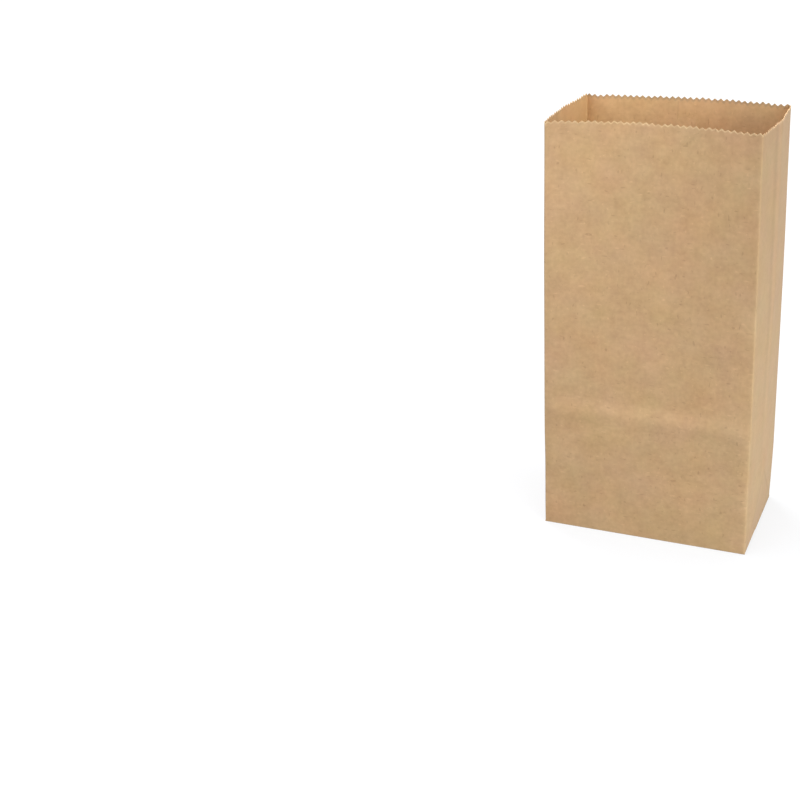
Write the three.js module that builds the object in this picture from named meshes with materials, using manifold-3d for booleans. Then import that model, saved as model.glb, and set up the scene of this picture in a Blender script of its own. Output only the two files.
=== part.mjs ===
// A brown paper lunch bag with a block bottom, standing open.
// It is one sheet of kraft paper. Its long edges are lapped and glued down the back, its sides are
// creased as gussets, a saw-toothed knife cuts both ends, and the lower end is folded and pasted
// into a flat base.
// Millimetres, +Z up. The origin is the middle of the base, on the surface that the bag stands on.
// The front is the wide panel towards -Y, and the glued lap is on the back.
import * as THREE from "three";
import { mergeVertices } from "three/addons/utils/BufferGeometryUtils.js";
import Module from "manifold-3d";

// Driving dimensions
const WIDTH = 130; // front and back panels, fold to fold
const DEPTH = 82.5; // gussets, fold to fold
const HEIGHT = 267; // base to the tips of the teeth
const PAPER = 0.12; // thickness of the sheet
const TOOTH_PITCH = 3.82; // saw-tooth cut of both ends
const TOOTH_HEIGHT = 1.6;
const LAP = 12; // how far the sheet's long edges overlap
const LAP_RAMP = 5; // stretch over which the hidden edge dips behind the visible one
const PASTE = 17.5; // how far the front and back flaps overlap under the base
const SLIT_INSET = 25.5; // the front flap's two slits, in from its side folds
const GUSSET_BELLY = 1.5; // how far a gusset's centre crease stands out
const CREASE_DIP = 1; // how far the back panel is pressed in along its low crease
const IMPRINT_RISE = 0.5; // ridge that the flat-packed base pressed into the front

// Sizes that follow from them
const HALF_WIDTH = WIDTH / 2;
const HALF_DEPTH = DEPTH / 2;
const FLAP = (DEPTH + PASTE) / 2; // the tube runs on this far past the base's folds
const LAP_EDGE = LAP / 2; // the lap is centred on the back panel
const HEEL = 5 * PAPER; // upright foot of the walls round the plies of the base

// Heights of the folds. Packed flat, the base lies against the back: the back bends half the
// depth up, and the base's far edge reaches the full depth up.
const LEVEL = {
  base: 0,
  heel: HEEL,
  crease: HALF_DEPTH,
  imprint: DEPTH,
};

// Plies of the base, counted from the surface that the bag stands on
const PLY = { frontFlap: 0, backFlap: 1, cornerTuck: 1, gussetFlap: 2, lap: 2 };

// Upright lines on the outer face, seen in plan, with the direction of the inner face
const backY = HALF_DEPTH;
const underlapY = HALF_DEPTH - PAPER;
const LINE = {
  lapEdge: { x: -LAP_EDGE, y: backY, inward: [0, -1] },
  backRight: { x: HALF_WIDTH, y: backY, inward: [-1, -1] },
  gussetRight: { x: HALF_WIDTH, y: 0, inward: [-1, 0] },
  frontRight: { x: HALF_WIDTH, y: -HALF_DEPTH, inward: [-1, 1] },
  frontLeft: { x: -HALF_WIDTH, y: -HALF_DEPTH, inward: [1, 1] },
  gussetLeft: { x: -HALF_WIDTH, y: 0, inward: [1, 0] },
  backLeft: { x: -HALF_WIDTH, y: backY, inward: [1, -1] },
  rampStart: { x: -LAP_EDGE - LAP_RAMP, y: backY, inward: [0, -1] },
  rampEnd: { x: -LAP_EDGE, y: underlapY, inward: [0, -1] },
  underlapEdge: { x: LAP_EDGE, y: underlapY, inward: [0, -1] },
};

// How far a line is moved in plan by the creases, at a level
function relief(lineName, levelName) {
  if (lineName.startsWith("gusset")) {
    const outward = Math.sign(LINE[lineName].x) * GUSSET_BELLY;
    return ["base", "heel"].includes(levelName) ? [0, 0] : [outward, 0];
  }
  if (lineName.startsWith("front")) {
    return levelName === "imprint" ? [0, -IMPRINT_RISE] : [0, 0];
  }
  return levelName === "crease" ? [0, -CREASE_DIP] : [0, 0];
}

// A corner of a facet: its place on the outer face, and the step to the inner face. The reliefs
// are so shallow that a step in plan keeps the sheet's thickness.
function corner(lineName, levelName) {
  const line = LINE[lineName];
  const [dx, dy] = relief(lineName, levelName);
  return {
    outer: new THREE.Vector3(line.x + dx, line.y + dy, LEVEL[levelName]),
    step: new THREE.Vector3(...line.inward, 0).multiplyScalar(PAPER),
  };
}

// A facet from "line level" names, anticlockwise seen from outside
function facet(...names) {
  return names.map((name) => corner(...name.split(" ")));
}

// Length of half a tooth, where whole teeth fill a length of the cut
function halfToothOf(length) {
  return length / Math.max(1, Math.round(length / TOOTH_PITCH)) / 2;
}

// How far a tooth's flank stands back from the tips, at a distance along the cut from a notch
function cutBack(distance, halfTooth) {
  const tooth = (distance / halfTooth / 2) % 1;
  return TOOTH_HEIGHT * Math.abs(1 - 2 * tooth);
}

// The part of a panel above the imprint, up to the mouth's cut. Whole teeth fill the distance
// between two folds, and the part may be a stretch of that.
function mouthFacet(fromLine, toLine, folds = [fromLine, toLine]) {
  const [start, end] = folds.map((name) => new THREE.Vector2(LINE[name].x, LINE[name].y));
  const length = start.distanceTo(end);
  const along = end.clone().sub(start).normalize();
  const halfTooth = halfToothOf(length);
  const from = corner(fromLine, "imprint");
  const to = corner(toLine, "imprint");
  const distanceOf = ({ x, y }) => along.dot(new THREE.Vector2(x, y).sub(start));
  const first = distanceOf(LINE[fromLine]);
  const last = distanceOf(LINE[toLine]);
  const pointAt = (distance, { outer, step }) => {
    const point = outer.clone().setZ(HEIGHT - cutBack(distance, halfTooth));
    return { outer: point, step };
  };
  const between = [];
  const straightIn = new THREE.Vector3(-along.y, along.x, 0).multiplyScalar(PAPER);
  const steps = Math.round(length / halfTooth);
  for (let i = steps; i >= 0; i -= 1) {
    const share = (i * halfTooth - first) / (last - first);
    const isInside = share > 1e-6 && share < 1 - 1e-6;
    const outer = from.outer.clone().lerp(to.outer, share);
    if (isInside) between.push(pointAt(i * halfTooth, { outer, step: straightIn }));
  }
  return [from, to, pointAt(last, to), ...between, pointAt(first, from)];
}

// A band of a panel between two levels
function band(fromLine, toLine, low, high) {
  return facet(
    `${fromLine} ${low}`,
    `${toLine} ${low}`,
    `${toLine} ${high}`,
    `${fromLine} ${high}`,
  );
}

// The front panel: plain below the imprint's ridge and above it
function frontPanel() {
  return [
    band("frontLeft", "frontRight", "base", "heel"),
    band("frontLeft", "frontRight", "heel", "imprint"),
    mouthFacet("frontLeft", "frontRight"),
  ];
}

// A stretch of the back panel, bent at the low crease
function backStretch(fromLine, toLine) {
  return [
    band(fromLine, toLine, "base", "heel"),
    band(fromLine, toLine, "heel", "crease"),
    band(fromLine, toLine, "crease", "imprint"),
    mouthFacet(fromLine, toLine, ["backRight", "backLeft"]),
  ];
}

// A gusset. Its centre crease runs down to the point where two diagonals from the base's corners
// and the back panel's low crease meet it. The two sides of the bag are mirrored.
function gusset(side) {
  const back = `back${side}`;
  const centre = `gusset${side}`;
  const front = `front${side}`;
  const lower = [
    band(front, back, "base", "heel"),
    facet(`${front} heel`, `${back} heel`, `${centre} crease`),
    facet(`${back} heel`, `${back} crease`, `${centre} crease`),
    facet(`${centre} crease`, `${back} crease`, `${back} imprint`, `${centre} imprint`),
    facet(`${front} heel`, `${centre} crease`, `${centre} imprint`, `${front} imprint`),
  ];
  if (side === "Right") {
    return [
      ...lower,
      mouthFacet(front, centre),
      mouthFacet(centre, back),
    ];
  }
  return [
    ...lower.map((points) => points.reverse()),
    mouthFacet(back, centre),
    mouthFacet(centre, front),
  ];
}

// Triangles of an upright facet, as index triples, anticlockwise seen from outside
function trianglesOf(points) {
  const normal = new THREE.Vector3();
  points.forEach(({ outer }, i) => {
    const next = points[(i + 1) % points.length].outer;
    normal.add(outer.clone().cross(next));
  });
  const across = new THREE.Vector3(-normal.y, normal.x, 0).normalize();
  const flat = points.map(({ outer }) => new THREE.Vector2(outer.dot(across), outer.z));
  return THREE.ShapeUtils.triangulateShape(flat, []);
}

// Makes a closed geometry from a sheet's facets: the outer face, the inner face and the rim that
// joins them along every edge that only one triangle has
function thicken(facets) {
  const corners = [];
  const indexOf = new Map();
  const indexFor = (point) => {
    const key = point.outer.toArray().map((n) => n.toFixed(4)).join(" ");
    if (!indexOf.has(key)) {
      indexOf.set(key, corners.length);
      corners.push(point);
    }
    return indexOf.get(key);
  };
  const outerFace = facets.flatMap((points) =>
    trianglesOf(points).map((t) => t.map((i) => indexFor(points[i]))),
  );
  const edges = outerFace.flatMap(([a, b, c]) => [[a, b], [b, c], [c, a]]);
  const known = new Set(edges.map(([a, b]) => `${a} ${b}`));
  const rimEdges = edges.filter(([a, b]) => !known.has(`${b} ${a}`));
  const n = corners.length;
  const innerFace = outerFace.map(([a, b, c]) => [a + n, c + n, b + n]);
  const rim = rimEdges.flatMap(([a, b]) => [[b, a, a + n], [b, a + n, b + n]]);
  const positions = [
    ...corners.flatMap(({ outer }) => outer.toArray()),
    ...corners.flatMap(({ outer, step }) => outer.clone().add(step).toArray()),
  ];
  return new THREE.BufferGeometry()
    .setAttribute("position", new THREE.Float32BufferAttribute(positions, 3))
    .setIndex([...outerFace, ...innerFace, ...rim].flat());
}

// A flat ply of the base. Outlines are drawn from the bag's front left corner, and reach to the
// middle of the paper in the walls.
function basePly(outline, ply) {
  const edge = PAPER / 2;
  const points = outline.map(
    ([x, y]) =>
      new THREE.Vector2(
        THREE.MathUtils.clamp(x, edge, WIDTH - edge) - HALF_WIDTH,
        THREE.MathUtils.clamp(y, edge, DEPTH - edge) - HALF_DEPTH,
      ),
  );
  const options = { depth: PAPER, bevelEnabled: false };
  const plate = new THREE.ExtrudeGeometry(new THREE.Shape(points), options);
  return plate.translate(0, 0, ply * PAPER);
}

// A flap's toothed end between two points, which lie on the line of its tips. It is cut back to
// the left of that line.
function flapCut([x0, y0], [x1, y1]) {
  const length = Math.hypot(x1 - x0, y1 - y0);
  const [alongX, alongY] = [(x1 - x0) / length, (y1 - y0) / length];
  const halfTooth = halfToothOf(length);
  const steps = Math.round(length / halfTooth);
  return Array.from({ length: steps + 1 }, (_, i) => {
    const distance = i * halfTooth;
    const back = cutBack(distance, halfTooth);
    return [x0 + alongX * distance - alongY * back, y0 + alongY * distance + alongX * back];
  });
}

const mirrored = (outline) => outline.map(([x, y]) => [WIDTH - x, y]).reverse();

// The outermost flap runs on from the front. Its corners are folded in at 45 degrees up to the
// ends of its slits.
function frontFlap() {
  const right = WIDTH - SLIT_INSET;
  return [
    [0, 0],
    [WIDTH, 0],
    [right, SLIT_INSET],
    ...flapCut([right, FLAP], [SLIT_INSET, FLAP]),
    [SLIT_INSET, SLIT_INSET],
  ];
}

// What the slits part from the front flap, turned over at its 45 degree folds
function cornerTuck() {
  return [[0, 0], [FLAP, 0], [FLAP, SLIT_INSET], [SLIT_INSET, SLIT_INSET]];
}

function backFlap() {
  const end = DEPTH - FLAP;
  return [[WIDTH, DEPTH], [0, DEPTH], ...flapCut([0, end], [WIDTH, end])];
}

// The innermost flap runs on from the left gusset. Its back edge is a 45 degree fold, where the
// last notch ends.
function gussetFlap() {
  const end = DEPTH - FLAP + TOOTH_HEIGHT;
  return [[0, DEPTH], [0, 0], ...flapCut([FLAP, 0], [FLAP, end])];
}

// The lap's second ply runs on with the back flap
function lapOnBase() {
  const end = DEPTH - FLAP + TOOTH_HEIGHT;
  const left = HALF_WIDTH - LAP_EDGE;
  const right = HALF_WIDTH + LAP_EDGE;
  return [[right, DEPTH], [left, DEPTH], [left, end], [right, end]];
}

const wasm = await Module();
wasm.setup();

function toSolid(geometry) {
  const bare = geometry.clone();
  bare.deleteAttribute("normal");
  bare.deleteAttribute("uv");
  const merged = mergeVertices(bare, 1e-4);
  const mesh = new wasm.Mesh({
    numProp: 3,
    vertProperties: merged.attributes.position.array,
    triVerts: new Uint32Array(merged.index.array),
  });
  return new wasm.Manifold(mesh);
}

function toGeometry(solid) {
  const { vertProperties, triVerts } = solid.getMesh();
  const geometry = new THREE.BufferGeometry()
    .setAttribute("position", new THREE.BufferAttribute(vertProperties, 3))
    .setIndex(new THREE.BufferAttribute(triVerts, 1));
  geometry.computeVertexNormals();
  return geometry;
}

// The sheet round the tube, in two runs that meet at the front right fold and at the lap
function tubeWalls() {
  const fromVisibleEdge = [...backStretch("backRight", "lapEdge"), ...gusset("Right")];
  const toHiddenEdge = [
    ...frontPanel(),
    ...gusset("Left"),
    ...backStretch("rampStart", "backLeft"),
    ...backStretch("rampEnd", "rampStart"),
    ...backStretch("underlapEdge", "rampEnd"),
  ];
  return [thicken(fromVisibleEdge), thicken(toHiddenEdge)];
}

function basePlies() {
  return [
    basePly(frontFlap(), PLY.frontFlap),
    basePly(backFlap(), PLY.backFlap),
    basePly(cornerTuck(), PLY.cornerTuck),
    basePly(mirrored(cornerTuck()), PLY.cornerTuck),
    basePly(gussetFlap(), PLY.gussetFlap),
    basePly(mirrored(gussetFlap()), PLY.gussetFlap),
    basePly(lapOnBase(), PLY.lap),
  ];
}

const kraft = new THREE.MeshStandardMaterial({
  name: "kraft_paper",
  color: new THREE.Color("#c4a27c"),
  roughness: 0.88,
  metalness: 0,
});

const plies = [...tubeWalls(), ...basePlies()].map(toSolid);
const sheet = plies.reduce((joined, ply) => joined.add(ply));

const paperBag = new THREE.Mesh(toGeometry(sheet), kraft);
paperBag.name = "paper_bag";

const bag = new THREE.Group();
bag.name = "lunch_bag";
bag.add(paperBag);

export default bag;
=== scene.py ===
# The looks of a brown paper lunch bag that stands open: one folded sheet of kraft paper with a
# saw-toothed mouth, gusseted sides, a glued lap down the back and a base of folded plies.
# Lengths are in millimetres until the mesh is made.
import math

import bpy
import numpy as np
from mathutils import Matrix, Vector, noise

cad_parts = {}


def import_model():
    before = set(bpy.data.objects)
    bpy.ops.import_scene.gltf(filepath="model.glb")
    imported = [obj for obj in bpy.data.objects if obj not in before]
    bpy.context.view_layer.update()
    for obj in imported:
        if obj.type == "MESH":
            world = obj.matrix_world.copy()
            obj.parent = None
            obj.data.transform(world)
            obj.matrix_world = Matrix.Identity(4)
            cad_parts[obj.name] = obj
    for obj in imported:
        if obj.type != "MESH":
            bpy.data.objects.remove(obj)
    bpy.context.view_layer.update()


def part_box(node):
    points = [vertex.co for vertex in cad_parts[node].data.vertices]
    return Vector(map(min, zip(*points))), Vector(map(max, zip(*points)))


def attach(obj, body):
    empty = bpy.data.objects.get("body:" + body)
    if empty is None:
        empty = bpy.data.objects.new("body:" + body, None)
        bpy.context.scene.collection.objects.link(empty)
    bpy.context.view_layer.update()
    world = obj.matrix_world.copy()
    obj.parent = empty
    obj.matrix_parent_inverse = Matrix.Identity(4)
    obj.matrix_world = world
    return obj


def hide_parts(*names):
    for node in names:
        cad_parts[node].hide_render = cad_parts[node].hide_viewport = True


MM = 0.001
NODE = "paper_bag"

# The sheet
BELLY = 1.5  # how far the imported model's gussets stand out
RIDGE = 0.5  # how far its front stands out at the imprint
PAPER = 0.2  # a little over the sheet's own thickness, so that its cut edge shows
GLUE_GAP = 0.03  # between the plies of the base and of the lap
TOOTH_PITCH = 3.82
TOOTH_HEIGHT = 1.6
TOOTH_POINT = 0.6  # share of a tooth's height with straight flanks, and not rounded ones
LAP = 12
LAP_RAMP = 5  # stretch beside the lap over which the hidden ply comes out
PASTE = 17.5  # overlap of the base's flaps
SLIT_INSET = 25.5  # from the front's folds to the slits beside its flap

# The creases
FOLD_REACH = 1.0  # stretch each side of a fold over which the sheet turns
BASE_RADIUS = 0.45  # of the folds to the flaps of the base
CREASE_DIP = 1.0  # inward, at the back's low crease
CREASE_SOFTNESS = 2.0

# The mesh
FINE = 4  # columns of the toothed edges for each column of the walls
ROW_STEP = 2.3
EDGE_STRIP = 3.2  # height of the fine strip below the notches
EDGE_ROWS = (0, 0.5, 1)  # its rows, as shares of the way from its middle to the cut
WALL_FOOT = 1.2  # the walls' lowest row, above the folds to the plies of the base
CLOSE_COLUMNS = (-1, -0.6, -0.25, 0, 0.25, 0.6, 1)  # round a fold, in shares of its reach
COLUMN_GAP = 0.12  # columns that would be closer are left out
TOUCH = 1e-6  # places this close are the same
TURN_ROWS = 5  # of a fold to a flap
FLAP_ROWS = 15
TUCK_ROWS = 8
TUCK_COLUMNS = 12
SHARP_ANGLE = math.radians(40)

# The camera, with its angles in degrees
LENS = 62.578
SENSOR = 36
CAMERA_PLACE = (193.8, -812.34, 454.12)
CAMERA_AZIMUTH = 25.117
CAMERA_ELEVATION = 24.07
CAMERA_ROLL = -2.803


def frame_sizes():
    """Width, depth and height of the tube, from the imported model's box."""
    low, high = (np.array(corner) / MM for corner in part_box(NODE))
    size = high - low
    return size[0] - 2 * BELLY, size[1] - RIDGE, size[2]


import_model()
WIDTH, DEPTH, HEIGHT = frame_sizes()
HALF_WIDTH = WIDTH / 2
HALF_DEPTH = DEPTH / 2
FLAP = (DEPTH + PASTE) / 2  # length of the base's flaps
LOW_CREASE = HALF_DEPTH  # height of the back's crease and of the point where the gusset's meet

# The standing bag is not quite square. Its base is folded a little wider than the tube, and at
# the mouth each upright fold is moved by this much, to the right and to the back.
BASE_SPREAD = 0.6
LEAN = {
    "front_left": (-1.53, 2.24),
    "front_right": (-4.05, -0.2),
    "back_right": (-2.5, -3.57),
    "back_left": (-0.12, 1.42),
}
BASE_STRETCH = 1 + BASE_SPREAD / HALF_WIDTH
BASE_HALF_WIDTH = HALF_WIDTH * BASE_STRETCH
CORNER = {
    "front_left": (-HALF_WIDTH, -HALF_DEPTH),
    "front_right": (HALF_WIDTH, -HALF_DEPTH),
    "back_right": (HALF_WIDTH, HALF_DEPTH),
    "back_left": (-HALF_WIDTH, HALF_DEPTH),
}
# How far each fold stands out sideways, the heights between which that grows, and the height
# from which it fades to the mouth
SWELL = {
    "front_left": (-0.45, 40, 75, 170),
    "front_right": (0.5, 45, 90, 150),
    "back_right": (0.9, 0, 45, 150),
    "back_left": (-0.6, 30, 80, 160),
}
BOW_GROWTH = 1.5  # power of the height at which the front and the back bow
FRONT_BOW = 10.8  # inward, at the mouth
FRONT_BOW_SKEW = 0.35  # how much nearer the left fold its deepest point is
BACK_BOW = 5.0  # outward, at the mouth
BACK_PEAK = 0.36  # where the back bends most, as a share of the width from the right fold
BACK_PEAK_REACH = 0.08
BACK_BEND = 0.65  # how much of the bow is a bend, and not an even curve
GUSSET_BOW = {"right": 2.7, "left": 2.2}  # outward, at the mouth
GUSSET_BOW_GROWTH = 1.4  # power of the distance from its folds at which a gusset bows
GUSSET_LOW_BOW = 1.2  # outward, at the low crease
GUSSET_RIDGE = 0.02  # how softly its centre crease turns, as a share of its width
GUSSET_SHOULDER = 0.7  # outward, beside its folds
SHOULDER_REACH = 4.0
FOOT_FADE = 15.0  # height above the base over which what is beside the folds comes in
BACK_PINCH = 0.7  # inward, beside the back's folds
BACK_DIP = 1.9  # inward, at the mouth, at the next distance from the back's folds
DIP_REACH = 6.5
# The ridge where the base lay against the front while the bag was flat: its height, how far it
# stands out, the lengths of its upper and lower flanks, and the lower one's share of the rise
IMPRINT_CREST = 81.5
IMPRINT_RISE = 1.1
IMPRINT_ABOVE = 11.0
IMPRINT_BELOW = 9.0
IMPRINT_LIP = 0.35
IMPRINT_FADE = 0.04  # share of the front beside each fold over which it comes in
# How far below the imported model's top the mouth is at its corners
DROP = {"front_left": 0.5, "front_right": 0.4, "back_right": 0.7, "back_left": 0.6}
TOOTH_SHARE = (0.85, 0.8, 0.75, 0.8, 0.85)  # height left of each stretch's teeth
RAGGED = (5.0, 0.55, 3.3)  # the cut's unevenness: length, height and a shift
# How much of the pale and of the dull rim's colour the cut has on each stretch of the sheet
PALE_RIM = (0, 0.3, 1.0, 0.35, 0)
DULL_RIM = (1.0, 0.5, 0, 0, 1.0)
# How much of the pale rim's colour each upright fold has: worn fibres and a painted highlight
FOLD_WEAR_AND_HIGHLIGHT = {"front_left": 0.17, "front_right": 0.17, "back_right": 0.17, "back_left": 0.4}
WAVES = [(46.0, 0.45), (17.0, 0.12)]  # cell and height of the sheet's slight waves
WAVE_SHIFT = 7.3  # between the waves of one stretch and the next
WAVE_FADE = 0.06  # share of a stretch beside each fold over which its waves come in
WAVE_FOOT = 30  # height over which they come in


def smooth(low, high, x):
    """0 below low, 1 above high, with an even bend between."""
    t = np.clip((x - low) / (high - low), 0, 1)
    return t * t * (3 - 2 * t)


def soft_min(a, b, reach):
    """The smaller of two values, rounded where they are within reach of each other."""
    h = np.clip(0.5 + 0.5 * (b - a) / reach, 0, 1)
    return b + (a - b) * h - reach * h * (1 - h)


def waves(s, z, shift):
    """Slight waves of the sheet, in plan, at places along it and heights."""
    total = np.zeros(len(s))
    for cell, height in WAVES:
        places = zip(s / cell, z / cell)
        total += height * np.array([noise.noise(Vector((a, b, shift))) for a, b in places])
    return total


def off_folds(u, share):
    """0 at a stretch's folds, 1 from a share of its width away from them."""
    return smooth(0, share, u) * smooth(0, share, 1 - u)


def corner_line(name, z):
    """Plan of an upright fold at heights."""
    share = z / HEIGHT
    swell, start, full, fade = SWELL[name]
    swell *= smooth(start, full, z) * (1 - smooth(fade, HEIGHT, z))
    spread = np.sign(CORNER[name][0]) * BASE_SPREAD * (1 - share)
    x = CORNER[name][0] + LEAN[name][0] * share + spread + swell
    y = CORNER[name][1] + LEAN[name][1] * share
    return np.stack([x, y], 1)


def front_relief(u, z):
    """How far the front stands out."""
    bow = 4 * u * (1 - u) * (1 + FRONT_BOW_SKEW * (1 - 2 * u))
    inward = FRONT_BOW * bow * (z / HEIGHT) ** BOW_GROWTH
    above = 1 - smooth(IMPRINT_CREST, IMPRINT_CREST + IMPRINT_ABOVE, z)
    slow = smooth(0, IMPRINT_CREST - IMPRINT_BELOW, z)
    below = slow + IMPRINT_LIP * (smooth(IMPRINT_CREST - IMPRINT_BELOW, IMPRINT_CREST, z) - slow)
    return IMPRINT_RISE * above * below * off_folds(u, IMPRINT_FADE) - inward


def back_relief(u, z):
    """How far the back stands out. It is pressed in along its low crease."""
    bend = soft_min(u / BACK_PEAK, (1 - u) / (1 - BACK_PEAK), BACK_PEAK_REACH)
    bow = BACK_BEND * bend + (1 - BACK_BEND) * 4 * u * (1 - u)
    outward = BACK_BOW * bow * (z / HEIGHT) ** BOW_GROWTH
    up = soft_min(z, 2 * LOW_CREASE - z, CREASE_SOFTNESS) / LOW_CREASE
    side = np.minimum(u, 1 - u) * WIDTH
    pinch = BACK_PINCH * (1 - np.exp(-side / SHOULDER_REACH)) * smooth(0, FOOT_FADE, z)
    dip = BACK_DIP * (z / HEIGHT) ** 2 * side / DIP_REACH * np.exp(1 - side / DIP_REACH)
    return outward - pinch - dip - CREASE_DIP * np.maximum(up, 0)


def gusset_relief(u, z, bow):
    """How far a gusset stands out, with its centre crease over two diagonals."""
    side = np.maximum(soft_min(u, 1 - u, GUSSET_RIDGE), 0) * DEPTH
    low = GUSSET_LOW_BOW * soft_min(z, side, CREASE_SOFTNESS) / LOW_CREASE
    rise = np.clip((z - LOW_CREASE) / (HEIGHT - LOW_CREASE), 0, 1)
    high = (bow - GUSSET_LOW_BOW) * rise * (2 * side / DEPTH) ** GUSSET_BOW_GROWTH
    shoulder = GUSSET_SHOULDER * (1 - np.exp(-side / SHOULDER_REACH)) * smooth(0, FOOT_FADE, z)
    return np.maximum(low, 0) + high + shoulder


def left_gusset_relief(u, z):
    return gusset_relief(u, z, GUSSET_BOW["left"])


def right_gusset_relief(u, z):
    return gusset_relief(u, z, GUSSET_BOW["right"])


# The sheet's stretches, anticlockwise seen from above from the edge that the lap hides: where
# each starts along the sheet, its folds, how far in from its first fold it starts, the length
# between its folds, and its relief
LAP_HALF = LAP / 2
BACK_REST = HALF_WIDTH + LAP_HALF
STRETCHES = [
    (0, "back_right", "back_left", HALF_WIDTH - LAP_HALF, WIDTH, back_relief),
    (BACK_REST, "back_left", "front_left", 0, DEPTH, left_gusset_relief),
    (BACK_REST + DEPTH, "front_left", "front_right", 0, WIDTH, front_relief),
    (BACK_REST + DEPTH + WIDTH, "front_right", "back_right", 0, DEPTH, right_gusset_relief),
    (BACK_REST + 2 * DEPTH + WIDTH, "back_right", "back_left", 0, WIDTH, back_relief),
]
STARTS = np.array([stretch[0] for stretch in STRETCHES])
FOLDS = STARTS[1:]
SHEET_WIDTH = 2 * (WIDTH + DEPTH) + LAP
ENDS = np.append(FOLDS, SHEET_WIDTH)


def stretch_of(s):
    """The number of the stretch that each place is on."""
    return np.clip(np.searchsorted(STARTS, s, side="right") - 1, 0, len(STARTS) - 1)


def lap_inset(s):
    """How far in the hidden edge of the sheet lies, with the ramp that takes it there."""
    return (PAPER + GLUE_GAP) * (1 - smooth(LAP, LAP + LAP_RAMP, s))


def flat_places(s, z, index):
    """Points of one stretch, with no rounding at its folds."""
    start, first, last, offset, length, relief = STRETCHES[index]
    u = (s - start + offset) / length
    a = corner_line(first, z)
    b = corner_line(last, z)
    along = b - a
    along /= np.linalg.norm(along, axis=1)[:, None]
    out = np.stack([along[:, 1], -along[:, 0]], 1)
    fade = off_folds(u, WAVE_FADE) * smooth(0, WAVE_FOOT, z)
    depth = relief(u, z) + fade * waves(s, z, index * WAVE_SHIFT)
    plan = a + (b - a) * u[:, None] + out * depth[:, None]
    if index == 0:
        plan -= out * lap_inset(s)[:, None]
    return np.column_stack([plan, z])


def wall_points(s, z):
    """Points of the outer face at places along the sheet and heights."""
    points = np.zeros((len(s), 3))
    owner = stretch_of(s)
    for index in range(len(STRETCHES)):
        mine = owner == index
        points[mine] = flat_places(s[mine], z[mine], index)
    for k, fold in enumerate(FOLDS):
        near = np.abs(s - fold) < FOLD_REACH
        if near.any():
            points[near] = rounded(s[near], z[near], fold, k)
    return points


def rounded(s, z, fold, k):
    """Points near a fold, on the curve that takes the sheet from one side of it to the other."""
    before = flat_places(np.full(len(s), fold - FOLD_REACH), z, k)
    corner = flat_places(np.full(len(s), fold), z, k)
    after = flat_places(np.full(len(s), fold + FOLD_REACH), z, k + 1)
    t = ((s - fold + FOLD_REACH) / 2 / FOLD_REACH)[:, None]
    return (1 - t) ** 2 * before + 2 * t * (1 - t) * corner + t**2 * after


def tooth_cut(distance, length):
    """How far the cut stands back from its tips, at distances along a length of whole teeth."""
    teeth = max(1, round(length / TOOTH_PITCH))
    off_tip = np.abs(1 - 2 * (distance * teeth / length % 1))
    rounded_flank = (1 - np.cos(math.pi * off_tip)) / 2
    return TOOTH_HEIGHT * (TOOTH_POINT * off_tip + (1 - TOOTH_POINT) * rounded_flank)


def ragged(s):
    """How unevenly the mouth is cut, at places along the sheet."""
    length, height, shift = RAGGED
    return height * np.array([noise.noise(Vector((a / length, 0, shift))) for a in s])


def mouth_cut(s):
    """How far the mouth's cut stands back at places along the sheet."""
    cut = np.zeros(len(s))
    owner = stretch_of(s)
    for index, (start, first, last, offset, length, _) in enumerate(STRETCHES):
        mine = owner == index
        along = s[mine] - start + offset
        drop = DROP[first] + (DROP[last] - DROP[first]) * along / length
        cut[mine] = tooth_cut(along, length) * TOOTH_SHARE[index] + drop
    return cut + ragged(s)


def column_places():
    """Places along the sheet of the walls' columns: the tips and notches of the teeth, the
    lap's edges, and closer ones round the folds."""
    places = [0, LAP, LAP + LAP_RAMP / 2, LAP + LAP_RAMP, SHEET_WIDTH]
    for (start, _, _, offset, length, _), end in zip(STRETCHES, ENDS):
        half_tooth = length / round(length / TOOTH_PITCH) / 2
        count = round(length / half_tooth)
        on_sheet = start - offset + half_tooth * np.arange(count + 1)
        places += [p for p in on_sheet if start - TOUCH < p < end + TOUCH]
    places += [fold + FOLD_REACH * share for fold in FOLDS for share in CLOSE_COLUMNS]
    places = np.sort(np.array(places))
    keep = np.concatenate([[True], np.diff(places) > COLUMN_GAP])
    return places[keep]


def between(places, count):
    """The same places with each gap shared into count."""
    steps = np.linspace(0, 1, count, endpoint=False)
    gaps = np.diff(places)
    fine = (places[:-1, None] + gaps[:, None] * steps).ravel()
    return np.append(fine, places[-1])


NO_FLAP = 99.0  # stands for the distance to a flap's cut where there is no flap


class Sheet:
    """The points and faces of the outer face, and each point's place on the flat sheet."""

    def __init__(self):
        self.points = []
        self.places = []
        self.flap_gaps = []
        self.faces = []
        self.count = 0

    def row(self, points, s, t, flap_gap=NO_FLAP):
        """Adds a row of points and gives their numbers."""
        numbers = np.arange(self.count, self.count + len(points))
        self.points.append(points)
        self.places.append(np.column_stack([s, np.broadcast_to(t, len(s))]))
        self.flap_gaps.append(np.broadcast_to(flap_gap, len(s)))
        self.count += len(points)
        return numbers

    def join(self, low, high):
        """Faces between two rows, where the upper may have more points to a gap."""
        step = (len(high) - 1) // (len(low) - 1)
        for i in range(len(low) - 1):
            top = high[i * step : (i + 1) * step + 1][::-1]
            self.faces.append([int(low[i]), int(low[i + 1]), *map(int, top)])

    def join_down(self, low, high):
        """Faces between two rows, where the lower may have more points to a gap."""
        step = (len(low) - 1) // (len(high) - 1)
        for i in range(len(high) - 1):
            bottom = low[i * step : (i + 1) * step + 1]
            self.faces.append([*map(int, bottom), int(high[i + 1]), int(high[i])])


def wall_heights():
    """Heights of the walls' rows, up to the fine strip at the mouth."""
    top = HEIGHT - TOOTH_HEIGHT - EDGE_STRIP
    return np.linspace(WALL_FOOT, top, round((top - WALL_FOOT) / ROW_STEP))


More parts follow.
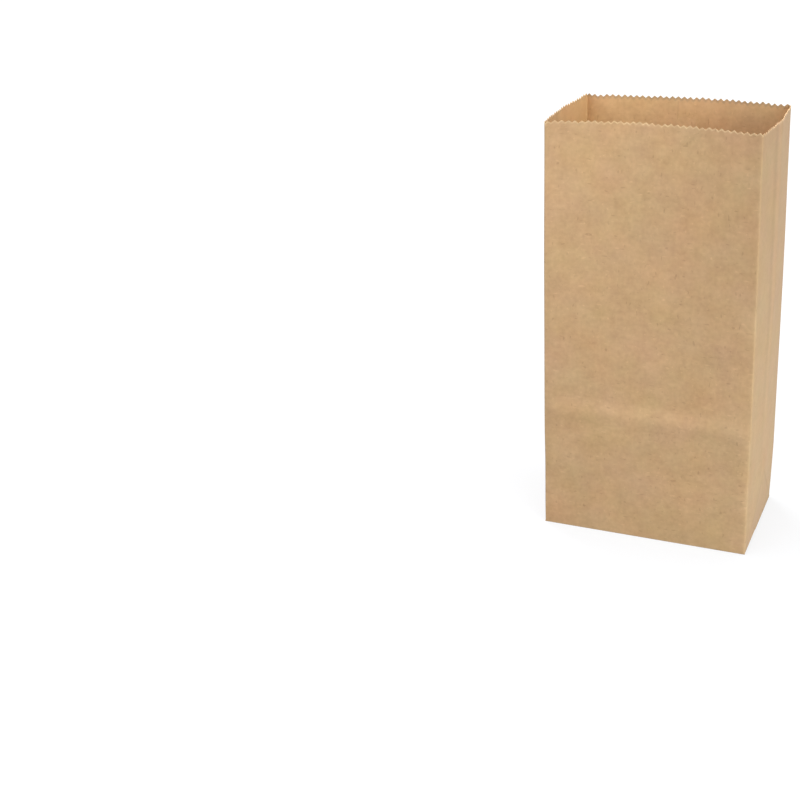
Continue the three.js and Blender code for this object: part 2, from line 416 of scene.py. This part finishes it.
def add_walls(sheet, columns):
    """The walls up to the mouth, and the numbers of their lowest row."""
    rows = [
        sheet.row(wall_points(columns, np.full(len(columns), z)), columns, z)
        for z in wall_heights()
    ]
    for low, high in zip(rows, rows[1:]):
        sheet.join(low, high)
    fine = between(columns, FINE)
    top = HEIGHT - mouth_cut(fine)
    start = np.full(len(fine), HEIGHT - TOOTH_HEIGHT - EDGE_STRIP / 2)
    last = rows[-1]
    for share in EDGE_ROWS:
        z = start + (top - start) * share
        row = sheet.row(wall_points(fine, z), fine, z)
        sheet.join(last, row)
        last = row
    return rows[0]


def fold_rows(ply):
    """How far in and how high the rows of a flap are, from the walls' foot to the fine strip at
    its end, and the height of its flat part."""
    level = ply * (PAPER + GLUE_GAP)
    turn = np.linspace(0, math.pi / 2, TURN_ROWS)
    inward = BASE_RADIUS * (1 - np.cos(turn))
    height = level + BASE_RADIUS * (1 - np.sin(turn))
    flat = np.linspace(BASE_RADIUS, FLAP - TOOTH_HEIGHT - EDGE_STRIP, FLAP_ROWS + 1)[1:]
    return np.append(inward, flat), np.append(height, np.full(len(flat), level)), level


def add_flap(sheet, foot, columns, index, ply, place, teeth_length):
    """A flap of the base, from the foot of one stretch of the walls inward. place gives the plan
    of columns, at places from the stretch's middle, at distances in."""
    start, _, _, offset, length, _ = STRETCHES[index]
    first_fold = start - offset
    middle = first_fold + length / 2

    def end_at(s):
        return FLAP - tooth_cut((s - first_fold) * teeth_length / length, teeth_length)

    inward, height, level = fold_rows(ply)
    end = end_at(columns)
    last = foot
    for d, z in zip(inward, height):
        plan = place(columns - middle, np.full(len(columns), d))
        points = np.column_stack([plan, z + ply_lift(columns)])
        row = sheet.row(points, columns, np.full(len(columns), -d), end - d)
        sheet.join(row, last)
        last = row
    fine = between(columns, FINE)
    end = end_at(fine)
    strip = np.full(len(fine), FLAP - TOOTH_HEIGHT - EDGE_STRIP / 2)
    for share in EDGE_ROWS:
        d = strip + (end - strip) * share
        points = np.column_stack([place(fine - middle, d), level + ply_lift(fine)])
        row = sheet.row(points, fine, -d, end - d)
        if share == 0:
            sheet.join_down(row, last)
        else:
            sheet.join(row, last)
        last = row


def ply_lift(s):
    """How much higher on the base the lap's hidden part lies."""
    return np.where(s < LAP + LAP_RAMP, lap_inset(s), 0)


def front_place(across, d):
    """The front flap, with its corners folded in at 45 degrees up to its slits."""
    share = 1 - np.minimum(d, SLIT_INSET) / BASE_HALF_WIDTH
    return np.column_stack([across * BASE_STRETCH * share, d - HALF_DEPTH])


def back_place(across, d):
    """The back flap, as wide as the panel."""
    return np.column_stack([-across * BASE_STRETCH, HALF_DEPTH - d])


def gusset_place(side, across, d):
    """A gusset flap, folded over at 45 degrees at the back."""
    from_front = HALF_DEPTH + side * across
    y = from_front * (DEPTH - d) / DEPTH - HALF_DEPTH
    return np.column_stack([side * (BASE_HALF_WIDTH - d), y])


def left_gusset_place(across, d):
    return gusset_place(-1, across, d)


def right_gusset_place(across, d):
    return gusset_place(1, across, d)


# The flap that each stretch of the walls runs on into: its ply from below, its plan, and the
# length of its toothed end
BACK_FLAP = (1, back_place, WIDTH)
FLAPS = [
    BACK_FLAP,
    (2, left_gusset_place, DEPTH - FLAP),
    (0, front_place, WIDTH - 2 * SLIT_INSET),
    (2, right_gusset_place, DEPTH - FLAP),
    BACK_FLAP,
]


def add_base(sheet, columns, foot):
    """The flaps that the walls run on into."""
    for index, flap in enumerate(FLAPS):
        mine = (columns > STARTS[index] - TOUCH) & (columns < ENDS[index] + TOUCH)
        add_flap(sheet, foot[mine], columns[mine], index, *flap)


def add_tuck(sheet, side):
    """A corner of the front that its slit lets fold in between the flaps."""
    level = PAPER + GLUE_GAP
    rows = []
    for v in np.linspace(BASE_RADIUS, SLIT_INSET, TUCK_ROWS):
        u = np.linspace(v, FLAP, TUCK_COLUMNS)
        x = side * (BASE_HALF_WIDTH - u)
        y = np.full(len(u), v - HALF_DEPTH)
        z = np.full(len(u), level)
        fold = STARTS[3] if side > 0 else STARTS[2]
        places = fold - side * np.full(len(u), v)
        rows.append(sheet.row(np.column_stack([x, y, z]), places, -u))
    for low, high in zip(rows, rows[1:]):
        if side > 0:
            sheet.join(low, high)
        else:
            sheet.join(high, low)


def sheet_mesh():
    """The outer face of the whole sheet as a mesh, in metres."""
    sheet = Sheet()
    columns = column_places()
    foot = add_walls(sheet, columns)
    add_base(sheet, columns, foot)
    add_tuck(sheet, -1)
    add_tuck(sheet, 1)
    points = np.concatenate(sheet.points) * MM
    places = np.concatenate(sheet.places)
    mesh = bpy.data.meshes.new("kraft_sheet")
    mesh.from_pydata(points.tolist(), [], sheet.faces)
    add_uv(mesh, places * MM)
    add_numbers(mesh, places[:, 0], places[:, 1], np.concatenate(sheet.flap_gaps))
    return mesh


def add_numbers(mesh, s, z, flap_gaps):
    """What the paper's material asks about each point: distances in millimetres, and how much it
    belongs to a gusset, a fold's wear and painted highlight, and a pale or a dull stretch of the
    mouth's rim."""
    owner = stretch_of(s)
    numbers = {
        "fold_gap": fold_gap(s),
        "edge_gap": HEIGHT - mouth_cut(s) - z,
        "flap_gap": flap_gaps,
        "gusset": is_gusset(s),
        "fold_wear_and_highlight": fold_wear_and_highlight(s),
        "pale_rim": np.array(PALE_RIM)[owner],
        "dull_rim": np.array(DULL_RIM)[owner],
        "to_back": to_back(s),
    }
    for name, values in numbers.items():
        attribute = mesh.attributes.new(name, "FLOAT", "POINT")
        attribute.data.foreach_set("value", np.asarray(values, dtype=np.float32))


def fold_gap(s):
    """Distance along the sheet to the nearest upright fold."""
    return np.abs(s[:, None] - FOLDS).min(1)


def is_gusset(s):
    """1 on the gussets, 0 elsewhere."""
    return np.isin(stretch_of(s), (1, 3)).astype(float)


def to_back(s):
    """Distance from a gusset's centre towards the back."""
    owner = stretch_of(s)
    centre = STARTS[owner] + HALF_DEPTH
    return np.where(owner == 1, centre - s, s - centre)


def fold_wear_and_highlight(s):
    """How much of the pale rim's colour, for wear and a painted highlight, the nearest upright
    fold has.
    """
    folds = np.array([FOLD_WEAR_AND_HIGHLIGHT[stretch[1]] for stretch in STRETCHES[1:]])
    return folds[np.abs(s[:, None] - FOLDS).argmin(1)]


def add_uv(mesh, places):
    """A UV map that is the flat sheet, in metres."""
    layer = mesh.uv_layers.new(name="flat_sheet")
    corners = np.empty(len(mesh.loops), dtype=np.int64)
    mesh.loops.foreach_get("vertex_index", corners)
    layer.uv.foreach_set("vector", places[corners].astype(np.float32).ravel())


def thickened(obj):
    """Gives the outer face the paper's thickness, and sharp edges along its cuts."""
    solid = obj.modifiers.new("paper", "SOLIDIFY")
    solid.thickness = PAPER * MM
    solid.offset = -1
    solid.use_even_offset = True
    depsgraph = bpy.context.evaluated_depsgraph_get()
    mesh = bpy.data.meshes.new_from_object(obj.evaluated_get(depsgraph))
    obj.modifiers.clear()
    obj.data = mesh
    mesh.shade_smooth()
    mesh.set_sharp_from_angle(angle=SHARP_ANGLE)


def linear(red, green, blue):
    """A colour as written in 0 to 255, for a shader's socket."""
    values = [c / 255 for c in (red, green, blue)]
    return (*[c / 12.92 if c < 0.04045 else ((c + 0.055) / 1.055) ** 2.4 for c in values], 1)


class Tree:
    """Short ways to add and link a material's nodes."""

    def __init__(self, material):
        material.use_nodes = True
        self.nodes = material.node_tree.nodes
        self.links = material.node_tree.links
        self.nodes.clear()

    def add(self, kind, inputs=None, **settings):
        node = self.nodes.new("ShaderNode" + kind)
        for name, value in settings.items():
            setattr(node, name, value)
        for key, value in (inputs or {}).items():
            socket = self.socket(node.inputs, key)
            if isinstance(value, bpy.types.NodeSocket):
                self.links.new(value, socket)
            else:
                socket.default_value = value
        return node

    def socket(self, sockets, key):
        """A socket by number, or the one in use of those with a name."""
        if isinstance(key, int):
            return sockets[key]
        return next(socket for socket in sockets if socket.name == key and socket.enabled)

    def mix(self, factor, a, b, kind="FLOAT"):
        node = self.add("Mix", {"Factor": factor, "A": a, "B": b}, data_type=kind)
        return self.socket(node.outputs, "Result")

    def math(self, operation, a, b, c=0.0):
        node = self.add("Math", {0: a, 1: b, 2: c}, operation=operation)
        return node.outputs[0]

    def ramp(self, value, low, high, out_low=0.0, out_high=1.0):
        """A soft step over a stretch of a value."""
        inputs = {"Value": value, "From Min": low, "From Max": high}
        inputs.update({"To Min": out_low, "To Max": out_high})
        node = self.add("MapRange", inputs, interpolation_type="SMOOTHSTEP")
        return node.outputs["Result"]

    def noise(self, place, detail, scale=1.0, roughness=0.5):
        inputs = {"Vector": place, "Scale": scale, "Detail": detail, "Roughness": roughness}
        return self.add("TexNoise", inputs, noise_dimensions="3D").outputs["Fac"]

    def shifted(self, colour, direction, amount):
        """A colour moved by an amount in a direction."""
        change = self.add("VectorMath", {0: direction, "Scale": amount}, operation="SCALE")
        both = {0: colour, 1: change.outputs["Vector"]}
        return self.add("VectorMath", both, operation="ADD").outputs["Vector"]

    def stretched(self, place, across, along, shift):
        """A place counted in cells, so many per metre across and along the sheet."""
        inputs = {"Vector": place, "Scale": (across, along, 1), "Location": (shift, shift, 0)}
        return self.add("Mapping", inputs).outputs["Vector"]

    def number(self, name):
        """What the mesh says about its points under a name."""
        return self.add("Attribute", attribute_name=name).outputs["Fac"]


# Kraft paper's colour where it looks most yellow and most pink
KRAFT_YELLOW = (192, 163, 116)
KRAFT_PINK = (197, 154, 118)
PALE_TINT = (0.15, 0.15, 0.09)  # what a full pale rim along the mouth's cut adds; the folds' wear and painted highlight, and, taken away, the painted shadow along the flaps' cuts, use it too
DULL_TINT = (-0.12, -0.065, -0.025)  # and a dull one
VIVID = (0.035, 0.0, -0.035)  # how the paper's most vivid parts differ from its dullest
# What a shade of 1 adds or takes: less vivid than the paper, as its flecks are
FLECK_TINT = (0.64, 0.46, 0.28)
CLOUDS = [(42, 0.14), (90, 0.13), (190, 0.15), (420, 0.17)]  # cells per metre, and strength
# Fibres: cells per metre across and along the sheet, a shift, and strength
FIBRES = [(1300, 1300, 0.0, 0.02), (650, 130, 1.3, 0.045), (130, 650, 3.7, 0.05)]
# Flecks: cells per metre across and along the sheet, a shift, and how much paler they are
FLECKS = [
    (480, 200, 9.1, -0.13),
    (190, 480, 5.3, -0.12),
    (560, 420, 2.2, 0.09),
    (180, 560, 7.7, 0.1),
]
FLECK_RIM = (0.68, 0.77)  # the stretch of their noise over which flecks come in
GUSSET_CALM = 0.45  # how much weaker clouds, fibres and flecks are on the gussets
# The patches of yellow and pink, and of vivid and dull paper: cells per metre, detail and
# roughness, and which stretch of each endless pattern the sheet shows
PATCH_CELLS = 35
PATCH_DETAIL = 3
PATCH_ROUGHNESS = 0.55
CAST_SHIFT = 6.1
VIVID_SHIFT = 2.9
FIBRE_BUMP = 0.14  # how strongly the fibres catch the light
FIBRE_HEIGHT = 0.08
ROUGHNESS = 0.6
REFRACTION = 1.45
SEAM_SHADE = -0.12  # how much darker the lap's cut is
SEAM_WIDTH = 0.8
# Rims, and the painted shadow along the flaps' cuts: between which distances from a fold or a
# cut each of them fades
EDGE_FADE = (0.4, 1.2)
DULL_FADE = (0.8, 2.4)
FOLD_FADE = (0.4, 3.0)
FLAP_SHADOW_FADE = (0.1, 0.7)
FLAP_PAINTED_SHADOW = -1.0  # painted shadow along the cuts of the base's flaps, where each ply steps down: the pale rim's colour, taken away
# The pale rims' broken look: cells per metre across and along the sheet and a shift, and how
# much is left of them between two values of that noise
BROKEN_CELLS = (210, 60, 4.4)
BROKEN_SHARE = (0.35, 0.6, 0.45, 1.0)
# Painted shade and highlight along the gussets' creases: where each line starts and ends, in
# millimetres from the crease towards the back or down, and how much paler it is
CREASE_PAINTED_SHADE = (-15.0, -9.0, -0.06)
CREASE_PAINTED_HIGHLIGHT = (-8.0, -2.0, 0.06)
DIAGONAL_PAINTED_SHADE = (0.0, 2.5, -0.07)
# The centre crease is fainter lower down: the height from which it is full, as a share of the
# bag's, and how much is left of it at the low crease
CREASE_FULL = 0.8
CREASE_LEFT = 0.35


def crease_line(tree, gap, start, end, amount):
    """A soft line over a stretch of a distance."""
    soft = (end - start) / 2
    rise = tree.ramp(gap, start - soft, start + soft)
    fall = tree.ramp(gap, end - soft, end + soft, amount, 0.0)
    return tree.math("MULTIPLY", rise, fall)


def gusset_crease_shading(tree, place):
    """Painted shade and highlight along the gussets' centre creases, and painted shade along
    their diagonals: how much paler than the paper.
    """
    height = tree.add("SeparateXYZ", {"Vector": place}).outputs["Y"]
    height = tree.math("DIVIDE", height, MM)
    to_back = tree.number("to_back")
    dark = crease_line(tree, to_back, *CREASE_PAINTED_SHADE)
    upright = tree.math("ADD", dark, crease_line(tree, to_back, *CREASE_PAINTED_HIGHLIGHT))
    faint = tree.ramp(height, LOW_CREASE, HEIGHT * CREASE_FULL, CREASE_LEFT, 1.0)
    upright = tree.math("MULTIPLY", upright, faint)
    diagonal = tree.math("SUBTRACT", tree.number("fold_gap"), height)
    slanted = crease_line(tree, diagonal, *DIAGONAL_PAINTED_SHADE)
    low = tree.math("LESS_THAN", height, LOW_CREASE)
    both = tree.mix(low, upright, slanted)
    return tree.math("MULTIPLY", both, tree.number("gusset"))


def kraft_shade(tree, place):
    """How much paler the paper is than its own colour, with the painted shade and highlight
    along the gussets' creases, and the height of its fibres.
    """
    shade = 0.0
    for scale, amount in CLOUDS:
        cloud = tree.noise(place, detail=1, scale=scale)
        shade = tree.math("MULTIPLY_ADD", tree.math("SUBTRACT", cloud, 0.5), amount, shade)
    height = 0.0
    for across, along, shift, amount in FIBRES:
        fibre = tree.noise(tree.stretched(place, across, along, shift), detail=2)
        shade = tree.math("MULTIPLY_ADD", tree.math("SUBTRACT", fibre, 0.5), amount, shade)
        height = tree.math("ADD", height, fibre)
    for across, along, shift, amount in FLECKS:
        fleck = tree.noise(tree.stretched(place, across, along, shift), detail=1)
        shade = tree.math("MULTIPLY_ADD", tree.ramp(fleck, *FLECK_RIM), amount, shade)
    calm = tree.math("MULTIPLY_ADD", tree.number("gusset"), -GUSSET_CALM, 1.0)
    # adds the painted shade and highlight along the gussets' creases
    shade = tree.math("MULTIPLY_ADD", shade, calm, gusset_crease_shading(tree, place))
    seam = tree.add("SeparateXYZ", {"Vector": place}).outputs["X"]
    seam = tree.ramp(seam, (SHEET_WIDTH - SEAM_WIDTH) * MM, SHEET_WIDTH * MM, 0.0, SEAM_SHADE)
    return tree.math("ADD", shade, seam), height


def kraft_rims(tree, place):
    """How much of the pale and the dull rim's colour the folds and the cuts' edges have. The
    folds' pale lines are worn fibres and a painted highlight, and the flaps' cuts get a painted
    shadow.
    """
    edge_gap = tree.number("edge_gap")
    edge = tree.ramp(edge_gap, *EDGE_FADE, 1.0, 0.0)
    broken = tree.noise(tree.stretched(place, *BROKEN_CELLS), detail=2)
    broken = tree.ramp(broken, *BROKEN_SHARE)
    # the folds' pale lines: worn fibres and a painted highlight, most on the back-left fold
    fold = tree.ramp(tree.number("fold_gap"), *FOLD_FADE, 1.0, 0.0)
    fold = tree.math("MULTIPLY", fold, tree.number("fold_wear_and_highlight"))
    # a painted shadow along the cuts of the base's flaps, where each ply steps down onto the
    # next
    flap = tree.ramp(tree.number("flap_gap"), *FLAP_SHADOW_FADE, FLAP_PAINTED_SHADOW, 0.0)
    pale = tree.math("MULTIPLY_ADD", edge, tree.number("pale_rim"), fold)
    pale = tree.math("MULTIPLY_ADD", pale, broken, flap)
    dull = tree.ramp(edge_gap, *DULL_FADE, 1.0, 0.0)
    return pale, tree.math("MULTIPLY", dull, tree.number("dull_rim"))


def patches(tree, place, shift):
    """Soft patches that share the sheet between two sides of the paper's colour."""
    place = tree.stretched(place, PATCH_CELLS, PATCH_CELLS, shift)
    return tree.noise(place, PATCH_DETAIL, roughness=PATCH_ROUGHNESS)


def kraft_paper():
    """Uncoated kraft paper: cloudy, with fibres, flecks and paler rims; folds paler from wear
    and a painted highlight, painted shade and highlight along the gussets' creases, and a
    painted shadow along the flaps' cuts.
    """
    material = bpy.data.materials.new("kraft_paper")
    tree = Tree(material)
    place = tree.add("UVMap", uv_map="flat_sheet").outputs["UV"]
    shade, height = kraft_shade(tree, place)
    cast = patches(tree, place, CAST_SHIFT)
    paper = tree.mix(cast, linear(*KRAFT_YELLOW), linear(*KRAFT_PINK), "RGBA")
    vividness = tree.math("SUBTRACT", patches(tree, place, VIVID_SHIFT), 0.5)
    paper = tree.shifted(tree.shifted(paper, VIVID, vividness), FLECK_TINT, shade)
    pale, dull = kraft_rims(tree, place)
    colour = tree.shifted(tree.shifted(paper, PALE_TINT, pale), DULL_TINT, dull)
    depth = {"Strength": FIBRE_BUMP, "Distance": FIBRE_HEIGHT * MM}
    bump = tree.add("Bump", {"Height": height, **depth})
    surface = {"Base Color": colour, "Roughness": ROUGHNESS, "IOR": REFRACTION}
    shader = tree.add("BsdfPrincipled", {**surface, "Normal": bump.outputs["Normal"]})
    tree.add("OutputMaterial", {"Surface": shader.outputs[0]})
    return material


def paper_bag():
    """The bag, as one closed sheet with the paper's thickness."""
    obj = bpy.data.objects.new("folded_sheet", sheet_mesh())
    bpy.context.scene.collection.objects.link(obj)
    thickened(obj)
    obj.data.materials.clear()
    obj.data.materials.append(kraft_paper())
    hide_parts(NODE)
    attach(obj, "root")


# The floor and the lamps, in metres
FLOOR_HALF = 6.0
FLOOR_COLOUR = (0.18, 0.185, 0.195, 1)
# What the camera sees of the floor besides the light on it, so that it is white wherever the
# bag doesn't shade it: far away, and how much less below the overhead lamp
FLOOR_LIFT = 0.91
FLOOR_UNDER_LAMP = 0.155


def floor_lift(tree):
    """The floor's own light, less where the overhead lamp lights it more."""
    place = tree.add("NewGeometry").outputs["Position"]
    square = tree.add("VectorMath", {0: place, 1: place}, operation="DOT_PRODUCT")
    up = NEAR["overhead"][0][2] ** 2
    away = tree.math("ADD", square.outputs["Value"], up)
    share = tree.math("DIVIDE", up, away)
    share = tree.math("MULTIPLY", share, share)
    return tree.math("MULTIPLY_ADD", share, -FLOOR_UNDER_LAMP, FLOOR_LIFT)


def floor():
    """A white floor that takes the bag's shadow."""
    mesh = bpy.data.meshes.new("floor")
    corners = [(-1, -1), (1, -1), (1, 1), (-1, 1)]
    points = [(x * FLOOR_HALF, y * FLOOR_HALF, 0) for x, y in corners]
    mesh.from_pydata(points, [], [(0, 1, 2, 3)])
    obj = bpy.data.objects.new("floor", mesh)
    bpy.context.scene.collection.objects.link(obj)
    material = bpy.data.materials.new("floor_white")
    tree = Tree(material)
    path = tree.add("LightPath").outputs
    seen = tree.math("MAXIMUM", path["Is Camera Ray"], path["Is Glossy Ray"])
    glow = tree.add("Emission", {"Strength": tree.math("MULTIPLY", seen, floor_lift(tree))})
    matt = tree.add("BsdfDiffuse", {"Color": FLOOR_COLOUR})
    both = tree.add("AddShader", {0: matt.outputs[0], 1: glow.outputs[0]})
    tree.add("OutputMaterial", {"Surface": both.outputs[0]})
    mesh.materials.append(material)


WORLD_LIGHT = 0.45  # strength of the even light from all round


def world():
    """Even white light, and a white background where the camera sees it."""
    surroundings = bpy.data.worlds.new("studio")
    bpy.context.scene.world = surroundings
    tree = Tree(surroundings)
    path = tree.add("LightPath").outputs
    seen = tree.math("MAXIMUM", path["Is Camera Ray"], path["Is Glossy Ray"])
    strength = tree.math("MAXIMUM", seen, WORLD_LIGHT)
    background = tree.add("Background", {"Color": (1, 1, 1, 1), "Strength": strength})
    tree.add("OutputWorld", {"Surface": background.outputs[0]})


# Distant lamps: how far round to the right of the front and how high they stand, in degrees,
# and their strength
DISTANT = {
    "right": (50, 14, 1.27),
    "left": (-20, 12, 0.61),
    "side": (110, 35, 0.12),
    "behind": (-135, 30, 1.8),
}
DISTANT_WIDTH = math.radians(30)  # the angle that each of them fills, which softens its shadows
# Near lamps: place, aim, width, watts and colour
NEAR = {
    "overhead": ((0, -0.05, 0.9), (0, 0, 0), 0.4, 7.5, (1, 1, 1)),
    "card": ((0.3, -0.12, 0.05), (0.06, 0, 0.06), 0.15, 0.27, (0.82, 1, 1)),
}
# The lamp that shines into the mouth from the right: place, aim and watts
INSIDE_SPOT = ((0.33, -0.2, 0.6), (-0.045, 0.03, 0.262), 2.25)
INSIDE_BEAM = math.radians(11)
INSIDE_BLEND = 0.5  # share of its beam over which it fades to the beam's edge
INSIDE_RADIUS = 0.03
INSIDE_COLOUR = (1.0, 0.9, 0.3)  # warm, as the light that comes through the paper


def add_lamp(name, kind, place, aim, energy):
    """A lamp that the camera doesn't see."""
    data = bpy.data.lights.new(name, kind)
    data.energy = energy
    lamp = bpy.data.objects.new(name, data)
    lamp.location = place
    lamp.rotation_euler = (Vector(place) - Vector(aim)).to_track_quat("Z", "Y").to_euler()
    lamp.visible_camera = False
    bpy.context.scene.collection.objects.link(lamp)
    return data


def lamps():
    """The distant lamps, the near ones and the one into the mouth."""
    for name, (round_to_right, high, strength) in DISTANT.items():
        turn, tilt = math.radians(round_to_right), math.radians(high)
        level = math.cos(tilt)
        place = (level * math.sin(turn), -level * math.cos(turn), math.sin(tilt))
        add_lamp(name, "SUN", place, (0, 0, 0), strength).angle = DISTANT_WIDTH
    for name, (place, aim, width, watts, colour) in NEAR.items():
        lamp = add_lamp(name, "AREA", place, aim, watts)
        lamp.size = width
        lamp.color = colour
    spot = add_lamp("inside", "SPOT", *INSIDE_SPOT)
    spot.color = INSIDE_COLOUR
    spot.spot_size = INSIDE_BEAM
    spot.spot_blend = INSIDE_BLEND
    spot.shadow_soft_size = INSIDE_RADIUS


def camera():
    """The photo's view of the bag."""
    data = bpy.data.cameras.new("camera")
    data.lens = LENS
    data.sensor_width = SENSOR
    obj = bpy.data.objects.new("camera", data)
    turn = Matrix.Rotation(math.radians(CAMERA_AZIMUTH), 4, "Z")
    tilt = Matrix.Rotation(math.radians(90 - CAMERA_ELEVATION), 4, "X")
    roll = Matrix.Rotation(math.radians(CAMERA_ROLL), 4, "Z")
    place = Matrix.Translation(Vector(CAMERA_PLACE) * MM)
    obj.matrix_world = place @ turn @ tilt @ roll
    bpy.context.scene.collection.objects.link(obj)
    bpy.context.scene.camera = obj


camera()
world()
lamps()
floor()
paper_bag()
bpy.context.scene.view_settings.view_transform = "Standard"
